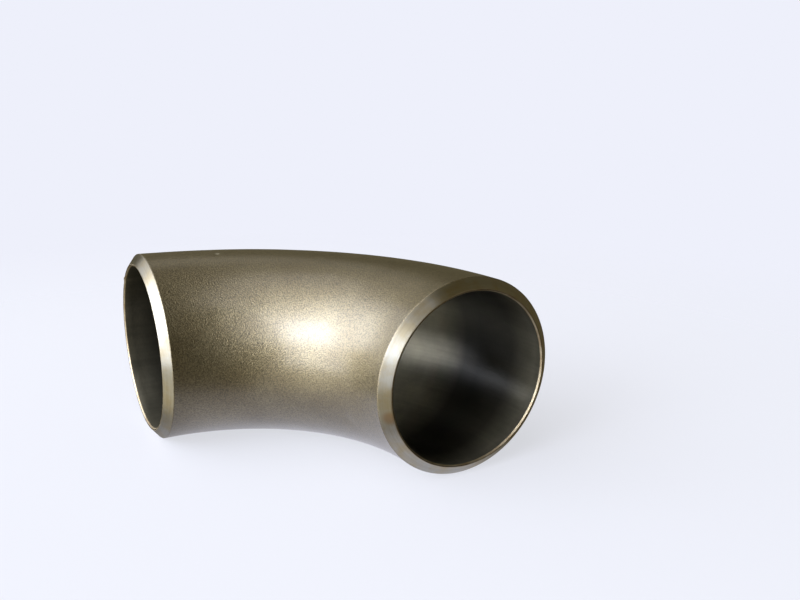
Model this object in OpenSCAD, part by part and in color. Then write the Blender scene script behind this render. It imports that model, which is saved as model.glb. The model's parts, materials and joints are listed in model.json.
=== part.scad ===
// Seamless 90 degree long-radius butt-weld pipe elbow, DN 50 (NPS 2), schedule 40.
// The elbow lies flat, with its bend plane in XY and +Z square to that plane.
// The origin is the centre of end A's root face. End A faces -Y and end B faces -X.

/* [Pipe size] */
// Outside diameter of the pipe
outside_d = 60.3; // [48.3:0.1:73]
// Wall thickness
wall_t = 3.91; // [3.2:0.01:5.6]

/* [Bend] */
// From the work point, where the two end axes cross, to each root face
centre_to_end = 76.2; // [57.2:0.1:95.3]

/* [Weld ends] */
// Angle of the bevel, measured from the root face
bevel_angle = 37.5; // [30:0.5:45]
// Width of the flat root face that is left inside the bevel
root_face_w = 0.7; // [0.5:0.1:2.4]
// How much wider in radius the sized mouth of the bore is than the bore of the bend
sizing_step = 0.15; // [0.12:0.01:0.3]
// Depth of the sized, truly round mouth of the bore at each end
sizing_depth = 3.5; // [2:0.5:4]

/* [Hidden] */
$fn = 180;

// The bend radius is the centre-to-end size, so the bend runs right up to both root faces.
bend_r = centre_to_end;
outside_r = outside_d / 2;
bore_r = outside_r - wall_t;
mouth_r = bore_r + sizing_step;
root_r = mouth_r + root_face_w;

// How far the cutting shapes run out past the metal
overcut = 2;
overcut_angle = 5;
// Radius that the bevel gains per millimetre along the end's axis
bevel_slope = 1 / tan(bevel_angle);
// Deep enough for the bevel to leave the outside of the bend all the way round
bevel_depth = (outside_r + overcut - root_r) / bevel_slope;
// The mouth narrows to less than the bend's bore over this length, so it leaves no step
lead_length = 1.5;
lead_end_r = bore_r - sizing_step;

steel_olive = [0.37, 0.35, 0.28];

// A round bar bent through a quarter turn, overrun by an angle past each end
module bent_bar(radius, overrun) {
    translate([-bend_r, 0, 0])
        rotate([0, 0, -overrun])
            rotate_extrude(angle = 90 + 2 * overrun)
                translate([bend_r, 0])
                    circle(r = radius);
}

// Ring that the bevelling tool cuts away: the end's axis is +Z, its root face is at Z = 0
module bevel_ring() {
    rotate_extrude()
        polygon([
            [root_r - overcut * bevel_slope, -overcut],
            [root_r + bevel_depth * bevel_slope, bevel_depth],
            [outside_r + 2 * overcut, bevel_depth],
            [outside_r + 2 * overcut, -overcut]
        ]);
}

// Space that the sizing plug pressed out at the mouth, placed as the bevel ring is
module sized_mouth() {
    translate([0, 0, -overcut])
        cylinder(r = mouth_r, h = sizing_depth + overcut);
    translate([0, 0, sizing_depth])
        cylinder(r1 = mouth_r, r2 = lead_end_r, h = lead_length);
}

module weld_end_cuts() {
    bevel_ring();
    sized_mouth();
}

// End A looks along -Y from the origin
module at_end_a() {
    rotate([-90, 0, 0])
        children();
}

// End B looks along -X from the far end of the bend
module at_end_b() {
    translate([-bend_r, bend_r, 0])
        rotate([0, 90, 0])
            children();
}

// One seamless piece of steel: the bend, its bore and both prepared weld ends
module elbow_body() {
    color(steel_olive)
        difference() {
            bent_bar(outside_r, 0);
            bent_bar(bore_r, overcut_angle);
            at_end_a()
                weld_end_cuts();
            at_end_b()
                weld_end_cuts();
        }
}

elbow_body();
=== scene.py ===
import json
import math

import bpy
import numpy as np
from mathutils import Matrix, Vector, noise


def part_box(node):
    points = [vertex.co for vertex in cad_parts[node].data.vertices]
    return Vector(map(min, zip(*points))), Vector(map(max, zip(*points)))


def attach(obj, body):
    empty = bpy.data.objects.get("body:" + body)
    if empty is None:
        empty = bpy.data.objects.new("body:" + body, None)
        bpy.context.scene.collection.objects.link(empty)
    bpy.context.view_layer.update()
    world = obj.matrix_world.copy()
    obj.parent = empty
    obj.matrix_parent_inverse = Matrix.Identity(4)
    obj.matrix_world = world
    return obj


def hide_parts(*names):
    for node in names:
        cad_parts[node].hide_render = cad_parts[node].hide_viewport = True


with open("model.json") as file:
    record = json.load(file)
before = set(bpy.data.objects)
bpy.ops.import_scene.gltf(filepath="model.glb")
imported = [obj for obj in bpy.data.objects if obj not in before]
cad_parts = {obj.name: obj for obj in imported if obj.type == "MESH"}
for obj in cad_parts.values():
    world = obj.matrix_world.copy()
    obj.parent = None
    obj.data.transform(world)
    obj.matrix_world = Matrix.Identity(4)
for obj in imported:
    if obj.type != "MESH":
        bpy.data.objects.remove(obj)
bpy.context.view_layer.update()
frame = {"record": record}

mm = 0.001
micron = 0.000001
fullTurn = 2 * math.pi
quarterTurn = math.pi / 2


def linearColour(hexColour):
    channels = [int(hexColour[i:i + 2], 16) / 255 for i in (1, 3, 5)]
    return [c / 12.92 if c <= 0.04045 else ((c + 0.055) / 1.055) ** 2.4 for c in channels] + [1.0]


# inputs and output of a Mix node that mixes colours
mixShare, mixFirst, mixSecond, mixedColour = 0, 6, 7, 2


def addNode(tree, kind, links=None, stops=(), **settings):
    # links gives inputs by name or number, each as a value or as another node's output; stops are a
    # colour ramp's, each a place along the ramp and either a hex colour or a grey level
    node = tree.nodes.new(kind)
    for setting, value in settings.items():
        setattr(node, setting, value)
    for socketName, value in (links or {}).items():
        socket = node.inputs[socketName]
        if isinstance(value, bpy.types.NodeSocket):
            tree.links.new(value, socket)
        else:
            socket.default_value = value
    if stops:
        elements = node.color_ramp.elements
        while len(elements) < len(stops):
            elements.new(0.5)
        for element, (place, tone) in zip(elements, stops):
            element.position = place
            element.color = linearColour(tone) if isinstance(tone, str) else [tone] * 3 + [1.0]
    return node


def newMaterial(name):
    material = bpy.data.materials.new(name)
    material.use_nodes = True
    tree = material.node_tree
    tree.nodes.clear()
    return material, tree, addNode(tree, "ShaderNodeTexCoord").outputs["Object"]


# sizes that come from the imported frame
lowCorner, highCorner = [Vector(corner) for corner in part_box("elbow_body")]
mounts = {mount["name"]: mount for mount in frame["record"]["mounts"]}
outsideR = (highCorner.z - lowCorner.z) / 2
bendR = -lowCorner.x
mouthR = mounts["end_a_bore"]["dims"]["r_mm"] * mm
bendCentre = Vector((-bendR, 0, 0))
print("frame: outside radius %.2f mm, bend radius %.2f mm" % (outsideR / mm, bendR / mm))

elbow = {
    "wall": 3.91 * mm,           # this and the next three are the CAD model's own sizes
    "rootFaceWidth": 0.7 * mm,
    "bevelAngle": 37.5,          # degrees from the root face
    "mouthDepth": 3.5 * mm,      # sized length of the bore at each end
    "mouthFade": 1.4 * mm,       # length over which the sized mouth runs out into the bore
    "aroundSteps": 300,
    "bendSteps": 196,
    "boreSteps": 84,
    "bevelSteps": 10,
    "outerEdge": 0.15 * mm,      # how much blasting and handling took off each edge
    "rootEdge": 0.12 * mm,
    "mouthEdge": 0.55 * mm,
    "mouthShare": 0.012,         # share of the bend that each rounded mouth takes from the bore
    "turningRidge": 5 * micron,  # height of the coarsest turning ridges on the bevels
    "waveHeight": 40 * micron,   # slow unevenness left by hot forming
    "waveLength": 26 * mm,
    "rippleHeight": 14 * micron,
    "rippleLength": 5.5 * mm,
    "rippleShift": Vector((7, 3, 1)),
    "reliefDrop": 0.6,           # how far down the relief sits, so that none of it stands proud
    "quietEnd": 9 * mm,          # sizing took the waves out near the ends
    # dents from handling: degrees along the bend, degrees round the section, width and depth in mm
    "dents": [
        (70.6, 97, 0.8, 0.22), (61, 88, 1.6, 0.16), (22, 205, 2.2, 0.10), (38, 122, 1.8, 0.08),
        (70, 150, 2.6, 0.08), (52, 60, 2.4, 0.18), (15, 20, 3.0, 0.16), (34, -18, 2.6, 0.20),
        (76, -40, 2.2, 0.15), (48, -75, 3.2, 0.16), (12, 118, 1.5, 0.10), (58, 12, 1.7, 0.20),
    ],
    # a curl of metal on end B's root face: degrees round the face, and how far it leans out of it
    "burr": {"angle": 44, "width": 0.9 * mm, "height": 0.35 * mm, "lean": 0.5},
}


def bendPoint(along, around, radius):
    # along is the angle of the bend from end A, around is 0 at the back of the bend
    reach = bendR + radius * np.cos(around)
    return np.stack([reach * np.cos(along) - bendR, reach * np.sin(along), radius * np.sin(around)], -1)


def easeInOut(share):
    share = np.clip(share, 0.0, 1.0)
    return share * share * (3 - 2 * share)


def bevelStart(around):
    # bend angle at which the outside meets end A's bevel cone, found by halving
    rootR = mouthR + elbow["rootFaceWidth"]
    slope = 1 / math.tan(math.radians(elbow["bevelAngle"]))
    halvings = 40
    low = np.zeros_like(around)
    high = np.full_like(around, quarterTurn / 8)  # further along than any bevel reaches
    for _ in range(halvings):
        middle = (low + high) / 2
        point = bendPoint(middle, around, outsideR)
        inside = np.hypot(point[:, 0], point[:, 2]) > rootR + point[:, 1] * slope
        low = np.where(inside, middle, low)
        high = np.where(inside, high, middle)
    return (low + high) / 2


def swapEnds(points):
    # mirror image in the plane that swaps the two ends
    return np.stack([points[..., 1] - bendR, points[..., 0] + bendR, points[..., 2]], -1)


def roundedCorner(before, corner, after, cut):
    # three rings that round off the corner ring between its neighbours
    def cutBack(neighbour):
        step = neighbour - corner
        return corner + step / np.linalg.norm(step, axis=-1, keepdims=True) * cut
    first = cutBack(before)
    last = cutBack(after)
    return [first, (first + 2 * corner + last) / 4, last]


def endRings(around):
    # end A's rings from the bevel's outer edge in to the mouth of the bore, with each strip's finish
    rootR = mouthR + elbow["rootFaceWidth"]
    start = bevelStart(around)
    flat = np.zeros_like(around)
    outer = bendPoint(start, around, outsideR)
    rootOuter = np.stack([rootR * np.cos(around), flat, rootR * np.sin(around)], -1)
    rootInner = np.stack([mouthR * np.cos(around), flat, mouthR * np.sin(around)], -1)
    behind = bendPoint(start + mm / bendR, around, outsideR)  # only their directions count
    deeper = rootInner + np.array([0, mm, 0])

    # turning ridges: every other ring of the bevel stands a few microns proud
    steps = elbow["bevelSteps"]
    proud = np.array([0, -elbow["turningRidge"], 0])
    bevel = [outer + (rootOuter - outer) * s / steps + proud * (s % 2) for s in range(1, steps)]

    rings = roundedCorner(behind, outer, rootOuter, elbow["outerEdge"])
    finishes = ["outside", "outside", "bevel"]
    rings += bevel
    finishes += ["bevel"] * len(bevel)
    rings += roundedCorner(outer, rootOuter, rootInner, elbow["rootEdge"])
    finishes += ["bevel", "rootFace", "rootFace"]
    rings += [(rootOuter + rootInner) / 2]
    finishes += ["rootFace"]
    rings += roundedCorner(rootOuter, rootInner, deeper, elbow["mouthEdge"])
    finishes += ["rootFace", "rootFace", "bore"]
    return rings, finishes, start


def addBurr(rings):
    # a curl of metal left by the facing tool on end B's root face, pushed out past the edge
    burr = elbow["burr"]
    angle = math.radians(burr["angle"])
    middleR = mouthR + elbow["rootFaceWidth"] / 2
    centre = np.array([-bendR, bendR + middleR * math.cos(angle), middleR * math.sin(angle)])
    outward = np.array([-burr["lean"], math.cos(angle), math.sin(angle)])
    for ring in rings:
        gap = np.linalg.norm(ring - centre, axis=1) / burr["width"]
        ring += outward * (burr["height"] * np.exp(-gap ** 2))[:, None]


def boreRing(along, around):
    # the bore grows to its sized mouth near each end
    depth = min(along, quarterTurn - along)
    mouthEnd = elbow["mouthDepth"] + elbow["mouthFade"]
    sized = easeInOut((mouthEnd - depth * bendR) / elbow["mouthFade"])
    formed = bendPoint(np.full_like(around, along), around, outsideR - elbow["wall"])
    flat = np.full_like(around, math.tan(depth) * bendR)
    turned = np.stack([mouthR * np.cos(around), flat, mouthR * np.sin(around)], -1)
    if along > quarterTurn / 2:
        turned = swapEnds(turned)
    return formed * (1 - sized) + turned * sized


def formingRelief(point, along):
    # height of the hot-formed skin over the true bend, never proud of it
    fade = easeInOut(min(along, quarterTurn - along) * bendR / elbow["quietEnd"])
    place = Vector(point)
    drop = elbow["reliefDrop"]
    wave = noise.noise(place / elbow["waveLength"]) - drop
    ripple = noise.noise(place / elbow["rippleLength"] + elbow["rippleShift"]) - drop
    return (wave * elbow["waveHeight"] + ripple * elbow["rippleHeight"]) * fade


def elbowRings():
    # rings of the closed skin: outside from end A to end B, end B, bore back to end A, end A
    around = np.linspace(0, fullTurn, elbow["aroundSteps"], endpoint=False)
    endA, endFinishes, start = endRings(around)
    endB = [swapEnds(ring) for ring in endA]
    addBurr(endB)
    rings, finishes = [], []

    for step in range(1, elbow["bendSteps"]):
        along = start + (quarterTurn - 2 * start) * step / elbow["bendSteps"]
        ring = bendPoint(along, around, outsideR)
        outward = (ring - bendPoint(along, around, 0.0)) / outsideR
        height = np.array([formingRelief(point, angle) for point, angle in zip(ring, along)])
        for dentAlong, dentAround, width, depth in elbow["dents"]:
            centre = bendPoint(math.radians(dentAlong), math.radians(dentAround), outsideR)
            gap = np.linalg.norm(ring - centre, axis=1) / (width * mm)
            height -= depth * mm * np.exp(-gap ** 2)
        rings.append(ring + outward * height[:, None])
        finishes.append("outside")

    rings += endB
    finishes += [finish.replace("bevel", "bevelB") for finish in endFinishes]
    mouthShare = elbow["mouthShare"]
    for step in range(1, elbow["boreSteps"]):
        share = 1 - step / elbow["boreSteps"]
        along = (mouthShare + (1 - 2 * mouthShare) * share) * quarterTurn
        rings.append(boreRing(along, around))
        finishes.append("bore")
    rings += endA[::-1]
    # a strip takes its ring's finish and runs on to the next ring, so going back they shift by one
    finishes += [finish.replace("bevel", "bevelA") for finish in endFinishes[:-1][::-1]] + ["outside"]
    return rings, finishes


def ringsToMesh(name, rings, slotOfRing):
    # each ring is joined to the next, and the last to the first
    count = len(rings[0])
    faces, slotOfFace = [], []
    for ring in range(len(rings)):
        here = ring * count
        there = (ring + 1) % len(rings) * count
        for step in range(count):
            beside = (step + 1) % count
            faces.append((here + step, there + step, there + beside, here + beside))
        slotOfFace += [slotOfRing[ring]] * count
    mesh = bpy.data.meshes.new(name)
    mesh.from_pydata(np.concatenate(rings).tolist(), [], faces)
    mesh.polygons.foreach_set("material_index", slotOfFace)
    mesh.polygons.foreach_set("use_smooth", [True] * len(faces))
    mesh.update()
    return mesh


spotCore = 0.35  # share of a spot's reach over which it keeps its full strength


def spotMask(tree, place, centre, reach, edge=None):
    # 1 at a spot on the surface, falling to 0 at reach; edge stretches the distance unevenly
    gap = addNode(tree, "ShaderNodeVectorMath", {0: place, 1: centre},
                  operation="DISTANCE").outputs["Value"]
    if edge is not None:
        gap = addNode(tree, "ShaderNodeMath", {0: gap, 1: edge}, operation="MULTIPLY").outputs["Value"]
    return addNode(tree, "ShaderNodeMapRange", {
        "Value": gap, "From Min": reach, "From Max": reach * spotCore},
        interpolation_type="SMOOTHSTEP").outputs["Result"]


blasted = {
    "grain": 0.42 * mm,       # shot dimples, really 0.2 mm, drawn coarser so that they show
    "grainDetail": 2.0,       # finer layers in the pattern, and how strong each is to the one before
    "grainRoughness": 0.6,
    "grainDepth": 165 * micron,
    "dimple": 1.3 * mm,       # slow unevenness under the grain
    "dimpleDetail": 1.0,
    "dimpleDepth": 20 * micron,
    "patch": 15 * mm,
    "patchDetail": 3.0,
    "skin": [(0.34, "#685d43"), (0.66, "#73694f")],
    "speckle": [(0.36, 0.5), (0.5, 0.87), (0.64, 1.16)],
    "roughness": 0.44,
    "roughnessSpread": 0.05,  # up or down from patch to patch
    "filmWeight": 0.85,       # how much of the skin the oil film covers
    "filmRoughness": 0.28,
    "filmIor": 1.55,
    # degrees along the bend from end A, and degrees round the section
    "nick": {"along": 70.6, "around": 96, "reach": 1.0 * mm, "colour": "#a59f8c"},
}


def shotBlastedSteel():
    # hot-formed carbon steel, shot-blasted and dipped in rust-preventive oil: dull olive-brown, with a
    # fine even grain all over, and a level oil film that keeps the middle of the highlight white
    material, tree, place = newMaterial("shotBlastedOiledSteel")
    patches = addNode(tree, "ShaderNodeTexNoise", {
        "Vector": place, "Scale": 1 / blasted["patch"], "Detail": blasted["patchDetail"]}).outputs["Fac"]
    grain = addNode(tree, "ShaderNodeTexNoise", {
        "Vector": place, "Scale": 1 / blasted["grain"], "Detail": blasted["grainDetail"],
        "Roughness": blasted["grainRoughness"]}).outputs["Fac"]
    dimples = addNode(tree, "ShaderNodeTexNoise", {
        "Vector": place, "Scale": 1 / blasted["dimple"], "Detail": blasted["dimpleDetail"]}).outputs["Fac"]
    skin = addNode(tree, "ShaderNodeValToRGB", {"Fac": patches}, blasted["skin"]).outputs["Color"]
    speckle = addNode(tree, "ShaderNodeValToRGB", {"Fac": grain}, blasted["speckle"]).outputs["Color"]
    colour = addNode(tree, "ShaderNodeMix", {mixShare: 1.0, mixFirst: skin, mixSecond: speckle},
                     data_type="RGBA", blend_type="MULTIPLY").outputs[mixedColour]

    # a nick on the top where the skin is knocked off down to bare metal
    nick = blasted["nick"]
    nickPlace = bendPoint(math.radians(nick["along"]), math.radians(nick["around"]), outsideR)
    bare = spotMask(tree, place, nickPlace, nick["reach"])
    colour = addNode(tree, "ShaderNodeMix", {
        mixShare: bare, mixFirst: colour, mixSecond: linearColour(nick["colour"])},
        data_type="RGBA").outputs[mixedColour]

    roughness = addNode(tree, "ShaderNodeMapRange", {
        "Value": patches, "To Min": blasted["roughness"] + blasted["roughnessSpread"],
        "To Max": blasted["roughness"] - blasted["roughnessSpread"]}).outputs["Result"]
    dimpled = addNode(tree, "ShaderNodeBump", {
        "Height": dimples, "Strength": 1.0, "Distance": blasted["dimpleDepth"]}).outputs["Normal"]
    grained = addNode(tree, "ShaderNodeBump", {
        "Height": grain, "Strength": 1.0, "Distance": blasted["grainDepth"],
        "Normal": dimpled}).outputs["Normal"]
    shader = addNode(tree, "ShaderNodeBsdfPrincipled", {
        "Base Color": colour, "Metallic": 1.0, "Roughness": roughness, "Normal": grained,
        "Coat Weight": blasted["filmWeight"], "Coat Roughness": blasted["filmRoughness"],
        "Coat IOR": blasted["filmIor"], "Coat Normal": dimpled})
    addNode(tree, "ShaderNodeOutputMaterial", {"Surface": shader.outputs["BSDF"]})
    return material


turned = {
    "feed": 0.42 * mm,         # tool marks, really 0.15 mm apart, drawn coarser so that they show
    "feedRun": 16 * mm,        # how far a tool mark keeps its tone round the face
    "feedDetail": 2.0,
    "feedRoughness": 0.7,
    "feedDepth": 9 * micron,
    "patch": 6 * mm,
    "patchDetail": 4.0,
    "patchRoughness": 0.6,
    "film": [(0.38, "#a9a69b"), (0.64, "#a59a80")],
    "tone": [(0.3, 0.84), (0.7, 1.0)],
    "roughness": 0.42,
    "grooveStretch": 0.9,      # how far the marks draw the highlight out across themselves
    # a rust stain: degrees round the bevel, and how much of its reach the patches leave alone
    "stain": {"angle": 193, "reach": 2.8 * mm, "evenEdge": 0.5, "strength": 0.6, "colour": "#8d6a41"},
}


def turnedSteel(name, centre, acrossAxis, stained):
    # weld bevel turned on a lathe and left bare: bright grey with rings of tool marks, which draw the
    # light out into a fan, and a thin straw-coloured film of first rust in patches
    material, tree, place = newMaterial(name)
    spread = addNode(tree, "ShaderNodeVectorMath", {0: place, 1: centre},
                     operation="SUBTRACT").outputs["Vector"]
    fromAxis = addNode(tree, "ShaderNodeVectorMath", {0: spread, 1: acrossAxis},
                       operation="MULTIPLY").outputs["Vector"]
    radius = addNode(tree, "ShaderNodeVectorMath", {0: fromAxis}, operation="LENGTH").outputs["Value"]
    feed = addNode(tree, "ShaderNodeMath", {0: radius, 1: 1 / turned["feed"]},
                   operation="MULTIPLY").outputs["Value"]
    feedStep = addNode(tree, "ShaderNodeCombineXYZ", {"X": feed}).outputs["Vector"]
    run = addNode(tree, "ShaderNodeVectorMath", {0: fromAxis, "Scale": 1 / turned["feedRun"]},
                  operation="SCALE").outputs["Vector"]
    markPlace = addNode(tree, "ShaderNodeVectorMath", {0: run, 1: feedStep},
                        operation="ADD").outputs["Vector"]
    marks = addNode(tree, "ShaderNodeTexNoise", {
        "Vector": markPlace, "Scale": 1.0, "Detail": turned["feedDetail"],
        "Roughness": turned["feedRoughness"]}).outputs["Fac"]
    patches = addNode(tree, "ShaderNodeTexNoise", {
        "Vector": place, "Scale": 1 / turned["patch"], "Detail": turned["patchDetail"],
        "Roughness": turned["patchRoughness"]}).outputs["Fac"]

    film = addNode(tree, "ShaderNodeValToRGB", {"Fac": patches}, turned["film"]).outputs["Color"]
    tone = addNode(tree, "ShaderNodeValToRGB", {"Fac": marks}, turned["tone"]).outputs["Color"]
    colour = addNode(tree, "ShaderNodeMix", {mixShare: 1.0, mixFirst: film, mixSecond: tone},
                     data_type="RGBA", blend_type="MULTIPLY").outputs[mixedColour]
    if stained:
        # a rust stain where water sat on the low side of the bevel, with an uneven edge
        stain = turned["stain"]
        angle = math.radians(stain["angle"])
        bevelR = (outsideR + mouthR) / 2
        stainPlace = Vector((bevelR * math.cos(angle), 0, bevelR * math.sin(angle)))
        edge = addNode(tree, "ShaderNodeMath", {0: patches, 1: stain["evenEdge"]},
                       operation="ADD").outputs["Value"]
        rust = spotMask(tree, place, stainPlace, stain["reach"], edge)
        rust = addNode(tree, "ShaderNodeMath", {0: rust, 1: stain["strength"]},
                       operation="MULTIPLY").outputs["Value"]
        colour = addNode(tree, "ShaderNodeMix", {
            mixShare: rust, mixFirst: colour, mixSecond: linearColour(stain["colour"])},
            data_type="RGBA").outputs[mixedColour]
    ridged = addNode(tree, "ShaderNodeBump", {
        "Height": marks, "Strength": 1.0, "Distance": turned["feedDepth"]}).outputs["Normal"]
    shader = addNode(tree, "ShaderNodeBsdfPrincipled", {
        "Base Color": colour, "Metallic": 1.0, "Roughness": turned["roughness"], "Normal": ridged,
        "Anisotropic": turned["grooveStretch"], "Tangent": fromAxis})
    addNode(tree, "ShaderNodeOutputMaterial", {"Surface": shader.outputs["BSDF"]})
    return material


faced = {
    "patch": 4 * mm,
    "patchDetail": 3.0,
    "land": [(0.35, "#98876c"), (0.6, "#ab9f86")],
    "roughness": 0.5,
}


def facedSteel():
    # root face cut square with a facing tool, browned by handling: a narrow warm grey land
    material, tree, place = newMaterial("facedRootSteel")
    patches = addNode(tree, "ShaderNodeTexNoise", {
        "Vector": place, "Scale": 1 / faced["patch"], "Detail": faced["patchDetail"]}).outputs["Fac"]
    colour = addNode(tree, "ShaderNodeValToRGB", {"Fac": patches}, faced["land"]).outputs["Color"]
    shader = addNode(tree, "ShaderNodeBsdfPrincipled", {
        "Base Color": colour, "Metallic": 1.0, "Roughness": faced["roughness"]})
    addNode(tree, "ShaderNodeOutputMaterial", {"Surface": shader.outputs["BSDF"]})
    return material


scaled = {
    "streak": 1.1 * mm,        # width of the drag marks along the bore
    "streakRun": 22 * mm,      # how far a drag mark keeps its tone along the bore
    "streakDetail": 3.0,
    "streakDepth": 7 * micron,
    "patch": 9 * mm,
    "patchDetail": 4.0,
    "patchRoughness": 0.6,
    "grain": 0.7 * mm,         # scale grains, really 0.1 mm, drawn coarser so that they show
    "grainDetail": 2.0,
    "grainDepth": 26 * micron,
    "scale": [(0.36, "#6e6a5a"), (0.62, "#7c7765")],
    "streakTone": [(0.3, 0.86), (0.65, 1.0)],
    "middleOfBend": 0.5,       # share of the bend that lies before its middle
    # brightness from the mouth, 0, to the middle of the bend: painted shade a little way in from each
    # mouth and painted light towards the middle, where light through the far mouth falls on the bore
    "rubbed": [(0.02, 0.45), (0.08, 0.1), (0.16, 0.03), (0.2, 0.07), (0.245, 0.42), (0.29, 0.86),
               (0.33, 1.0)],
    "metallic": 0.6,           # between bare steel, 1, and scale, which is an oxide, 0
    "roughness": 0.30,
}


def scaledBoreSteel():
    # bore as hot formed, under tight black-grey forming scale: dark, half dull, with faint drag marks left
    # along it by the mandrel, and painted shade and light along the bend
    material, tree, place = newMaterial("formingScaleSteel")
    parts = addNode(tree, "ShaderNodeSeparateXYZ", {0: place})
    fromBend = addNode(tree, "ShaderNodeVectorMath", {0: place, 1: bendCentre},
                       operation="SUBTRACT").outputs["Vector"]
    # the same place with its height left out, so that only the way round the bend counts
    plan = addNode(tree, "ShaderNodeVectorMath", {0: fromBend, 1: (1, 1, 0)},
                   operation="MULTIPLY").outputs["Vector"]
    reach = addNode(tree, "ShaderNodeVectorMath", {0: plan}, operation="LENGTH").outputs["Value"]
    planParts = addNode(tree, "ShaderNodeSeparateXYZ", {0: plan})
    turn = addNode(tree, "ShaderNodeMath", {0: planParts.outputs["Y"], 1: planParts.outputs["X"]},
                   operation="ARCTAN2").outputs["Value"]
    # places on the straightened pipe: across the section in metres, and slower along the bend
    slowing = bendR * scaled["streak"] / scaled["streakRun"]
    alongPlace = addNode(tree, "ShaderNodeMath", {0: turn, 1: slowing},
                         operation="MULTIPLY").outputs["Value"]
    straightened = addNode(tree, "ShaderNodeCombineXYZ", {
        "X": reach, "Y": parts.outputs["Z"], "Z": alongPlace}).outputs["Vector"]
    streaks = addNode(tree, "ShaderNodeTexNoise", {
        "Vector": straightened, "Scale": 1 / scaled["streak"],
        "Detail": scaled["streakDetail"]}).outputs["Fac"]
    patches = addNode(tree, "ShaderNodeTexNoise", {
        "Vector": place, "Scale": 1 / scaled["patch"], "Detail": scaled["patchDetail"],
        "Roughness": scaled["patchRoughness"]}).outputs["Fac"]
    grain = addNode(tree, "ShaderNodeTexNoise", {
        "Vector": place, "Scale": 1 / scaled["grain"], "Detail": scaled["grainDetail"]}).outputs["Fac"]
    scale = addNode(tree, "ShaderNodeValToRGB", {"Fac": patches}, scaled["scale"]).outputs["Color"]
    tone = addNode(tree, "ShaderNodeValToRGB", {"Fac": streaks}, scaled["streakTone"]).outputs["Color"]
    colour = addNode(tree, "ShaderNodeMix", {mixShare: 1.0, mixFirst: scale, mixSecond: tone},
                     data_type="RGBA", blend_type="MULTIPLY").outputs[mixedColour]
    # counted in from whichever mouth is nearer
    share = addNode(tree, "ShaderNodeMapRange", {"Value": turn, "From Max": quarterTurn}).outputs["Result"]
    depth = addNode(tree, "ShaderNodeMath", {0: share, 1: scaled["middleOfBend"]},
                    operation="PINGPONG").outputs["Value"]
    # painted light and shade along the bore, multiplied into its colour
    rubbed = addNode(tree, "ShaderNodeValToRGB", {"Fac": depth}, scaled["rubbed"]).outputs["Color"]
    colour = addNode(tree, "ShaderNodeMix", {mixShare: 1.0, mixFirst: colour, mixSecond: rubbed},
                     data_type="RGBA", blend_type="MULTIPLY").outputs[mixedColour]
    dragged = addNode(tree, "ShaderNodeBump", {
        "Height": streaks, "Strength": 1.0, "Distance": scaled["streakDepth"]}).outputs["Normal"]
    grained = addNode(tree, "ShaderNodeBump", {
        "Height": grain, "Strength": 1.0, "Distance": scaled["grainDepth"],
        "Normal": dragged}).outputs["Normal"]
    shader = addNode(tree, "ShaderNodeBsdfPrincipled", {
        "Base Color": colour, "Metallic": scaled["metallic"], "Roughness": scaled["roughness"],
        "Normal": grained})
    addNode(tree, "ShaderNodeOutputMaterial", {"Surface": shader.outputs["BSDF"]})
    return material


# the elbow: one skin, with a finish for each way its surface was made
rings, finishes = elbowRings()
endACentre = Vector((0, 0, 0))
endBCentre = Vector((-bendR, bendR, 0))
finishMaterials = {
    "outside": shotBlastedSteel(),
    "bevelA": turnedSteel("turnedBevelSteelA", endACentre, (1, 0, 1), True),
    "bevelB": turnedSteel("turnedBevelSteelB", endBCentre, (0, 1, 1), False),
    "rootFace": facedSteel(),
    "bore": scaledBoreSteel(),
}
slotNames = list(finishMaterials)
elbowMesh = ringsToMesh("elbowBody", rings, [slotNames.index(finish) for finish in finishes])
for material in finishMaterials.values():
    elbowMesh.materials.append(material)
elbowBody = bpy.data.objects.new("elbowBody", elbowMesh)
bpy.context.scene.collection.objects.link(elbowBody)
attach(elbowBody, "root")
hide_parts("elbow_body")
print("elbow: %d faces, %d materials" % (len(elbowMesh.polygons), len(slotNames)))


def aimed(place, target):
    return (Vector(target) - Vector(place)).to_track_quat("-Z", "Y").to_matrix().to_4x4()


def towards(azimuth, height):
    # unit vector to a place seen from the elbow: azimuth 0 is in front, -90 at the left, in degrees
    turn = math.radians(azimuth)
    tilt = math.radians(height)
    return Vector((math.sin(turn) * math.cos(tilt), -math.cos(turn) * math.cos(tilt), math.sin(tilt)))


# each light: azimuth and height of its middle and the angles it spans across and up, in degrees, its
# brightness where a lit white card is near 1, and its colour
lights = {
    "skyPane": (-82, 25, 30, 20, 11.0, "#e9f0ff"),
    "windowMiddle": (-95, 28, 58, 36, 4.4, "#eaf0ff"),
    "windowSides": (-93, 34, 76, 42, 2.2, "#eaf0ff"),
    "windowCurtains": (-100, 36, 114, 46, 1.9, "#eef2ff"),
    "windowSill": (-86, 1, 44, 28, 6.8, "#eff2fc"),
    "frontFill": (33, -15, 26, 22, 0.45, "#ffe9cc"),
    "tableTop": (-86, -31, 60, 36, 1.5, "#f6f1e4"),
    "ceiling": (-95, 70, 66, 30, 1.9, "#f8f8ff"),
    "backRight": (176, 47, 32, 20, 0.75, "#fff9e8"),
}
lightDistance = 3.0  # metres from the middle of the elbow
elbowMiddle = Vector(((lowCorner.x + highCorner.x) / 2, (lowCorner.y + highCorner.y) / 2, 0))


def softLight(name, azimuth, height, across, up, brightness, colour):
    lamp = bpy.data.lights.new(name, "AREA")
    lamp.shape = "RECTANGLE"
    lamp.size = 2 * lightDistance * math.tan(math.radians(across / 2))
    lamp.size_y = 2 * lightDistance * math.tan(math.radians(up / 2))
    lamp.energy = brightness * math.pi * lamp.size * lamp.size_y
    lamp.color = linearColour(colour)[:3]
    light = bpy.data.objects.new(name, lamp)
    place = elbowMiddle + towards(azimuth, height) * lightDistance
    light.matrix_world = Matrix.Translation(place) @ aimed(place, elbowMiddle)
    light.visible_camera = False
    bpy.context.scene.collection.objects.link(light)


for name, values in lights.items():
    softLight(name, *values)
print("lights: %d" % len(lights))

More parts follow.
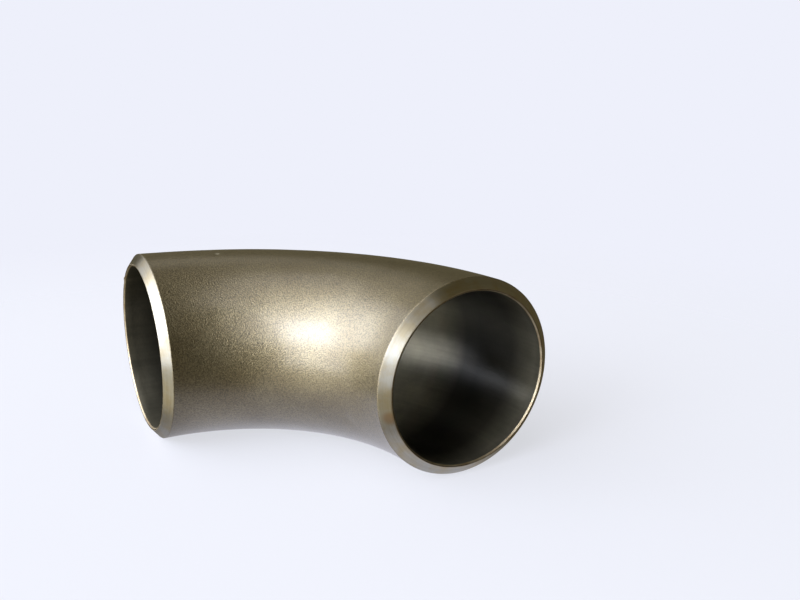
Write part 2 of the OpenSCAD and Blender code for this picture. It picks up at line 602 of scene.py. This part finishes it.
ground = {
    "size": 4.0,            # metres
    "fadeStart": 0.14,      # metres from the elbow at which the floor begins to melt into the air
    "fadeEnd": 0.42,
    "albedo": "#6c6c70",    # how strongly the floor takes light and shadow
    "glow": 0.69,           # its own even tone, which keeps the shadow pale
    "paper": "#f6f8ff",
    "air": "#eef0fb",       # the pale air behind everything
    "room": "#fff0b8",      # the dim warm room that the metal mirrors away from the lights
    "roomGlow": 0.14,
    # what the metal mirrors of the floor: a bright oval under the bend that fades outwards, given by
    # its half width, half depth and a height too great to count
    "patchCentre": Vector((-33, 22, 0)) * mm,
    "patchSize": Vector((84, 38, 1000)) * mm,
    "patchTurn": math.radians(135),
    "patchCore": 0.45,      # share of the oval that keeps its full brightness
    "patchColour": "#e9ebfc",
    "patchGlow": 1.1,
}


def paperFloor(origin):
    # matt white paper, evenly lit, that melts into the pale air so that no horizon shows
    material, tree, place = newMaterial("mattWhitePaper")
    reach = addNode(tree, "ShaderNodeVectorMath", {0: place}, operation="LENGTH").outputs["Value"]
    fade = addNode(tree, "ShaderNodeMapRange", {
        "Value": reach, "From Min": ground["fadeStart"], "From Max": ground["fadeEnd"]},
        interpolation_type="SMOOTHSTEP").outputs["Result"]
    matt = addNode(tree, "ShaderNodeBsdfDiffuse", {"Color": linearColour(ground["albedo"])})
    glow = addNode(tree, "ShaderNodeEmission", {
        "Color": linearColour(ground["paper"]), "Strength": ground["glow"]})
    paper = addNode(tree, "ShaderNodeAddShader", {0: matt.outputs["BSDF"], 1: glow.outputs["Emission"]})
    fromPatch = addNode(tree, "ShaderNodeMapping", {
        "Vector": place, "Location": ground["patchCentre"] - origin,
        "Rotation": (0, 0, ground["patchTurn"]), "Scale": ground["patchSize"]},
        vector_type="TEXTURE").outputs["Vector"]
    gap = addNode(tree, "ShaderNodeVectorMath", {0: fromPatch}, operation="LENGTH").outputs["Value"]
    offPatch = addNode(tree, "ShaderNodeMapRange", {"Value": gap, "From Min": ground["patchCore"]},
                       interpolation_type="SMOOTHSTEP").outputs["Result"]
    patch = addNode(tree, "ShaderNodeEmission", {
        "Color": linearColour(ground["patchColour"]), "Strength": ground["patchGlow"]}).outputs["Emission"]
    clear = addNode(tree, "ShaderNodeBsdfTransparent").outputs["BSDF"]
    mirrored = addNode(tree, "ShaderNodeMixShader", {0: offPatch, 1: patch, 2: clear})
    melted = addNode(tree, "ShaderNodeMixShader", {0: fade, 1: paper.outputs["Shader"], 2: clear})
    seen = addNode(tree, "ShaderNodeLightPath").outputs["Is Camera Ray"]
    either = addNode(tree, "ShaderNodeMixShader", {
        0: seen, 1: mirrored.outputs["Shader"], 2: melted.outputs["Shader"]})
    addNode(tree, "ShaderNodeOutputMaterial", {"Surface": either.outputs["Shader"]})
    return material


bpy.ops.mesh.primitive_plane_add(size=ground["size"])
floor = bpy.context.object
floor.name = "floor"
floor.location = (elbowMiddle.x, elbowMiddle.y, lowCorner.z)
floor.data.materials.append(paperFloor(floor.location))

# the air: pale to the camera, and a dim warm room to the metal
world = bpy.data.worlds.new("studioAir")
bpy.context.scene.world = world
world.use_nodes = True
air = world.node_tree
air.nodes.clear()
seen = addNode(air, "ShaderNodeLightPath").outputs["Is Camera Ray"]
room = addNode(air, "ShaderNodeBackground", {
    "Color": linearColour(ground["room"]), "Strength": ground["roomGlow"]})
pale = addNode(air, "ShaderNodeBackground", {"Color": linearColour(ground["air"]), "Strength": 1.0})
either = addNode(air, "ShaderNodeMixShader", {
    0: seen, 1: room.outputs["Background"], 2: pale.outputs["Background"]})
addNode(air, "ShaderNodeOutputWorld", {"Surface": either.outputs["Shader"]})
bpy.context.scene.view_settings.view_transform = "Standard"

view = {
    "azimuth": -31.3,          # degrees, as for the lights
    "height": 14.8,
    "roll": 0.74,
    "distance": 232.9 * mm,
    "lens": 32.76,             # mm, on a sensor 36 mm wide
    "sensor": 36,
    "nearest": 10 * mm,        # the camera sees nothing closer than this
    "aim": Vector((-4.1, 34.0, 16.6)) * mm,
}
eye = view["aim"] + towards(view["azimuth"], view["height"]) * view["distance"]
cameraLens = bpy.data.cameras.new("camera")
cameraLens.lens = view["lens"]
cameraLens.sensor_width = view["sensor"]
cameraLens.clip_start = view["nearest"]
camera = bpy.data.objects.new("camera", cameraLens)
upright = Matrix.Translation(eye) @ aimed(eye, view["aim"])
camera.matrix_world = upright @ Matrix.Rotation(math.radians(view["roll"]), 4, "Z")
bpy.context.scene.collection.objects.link(camera)
bpy.context.scene.camera = camera
print("camera: %.0f mm from the elbow" % (view["distance"] / mm))
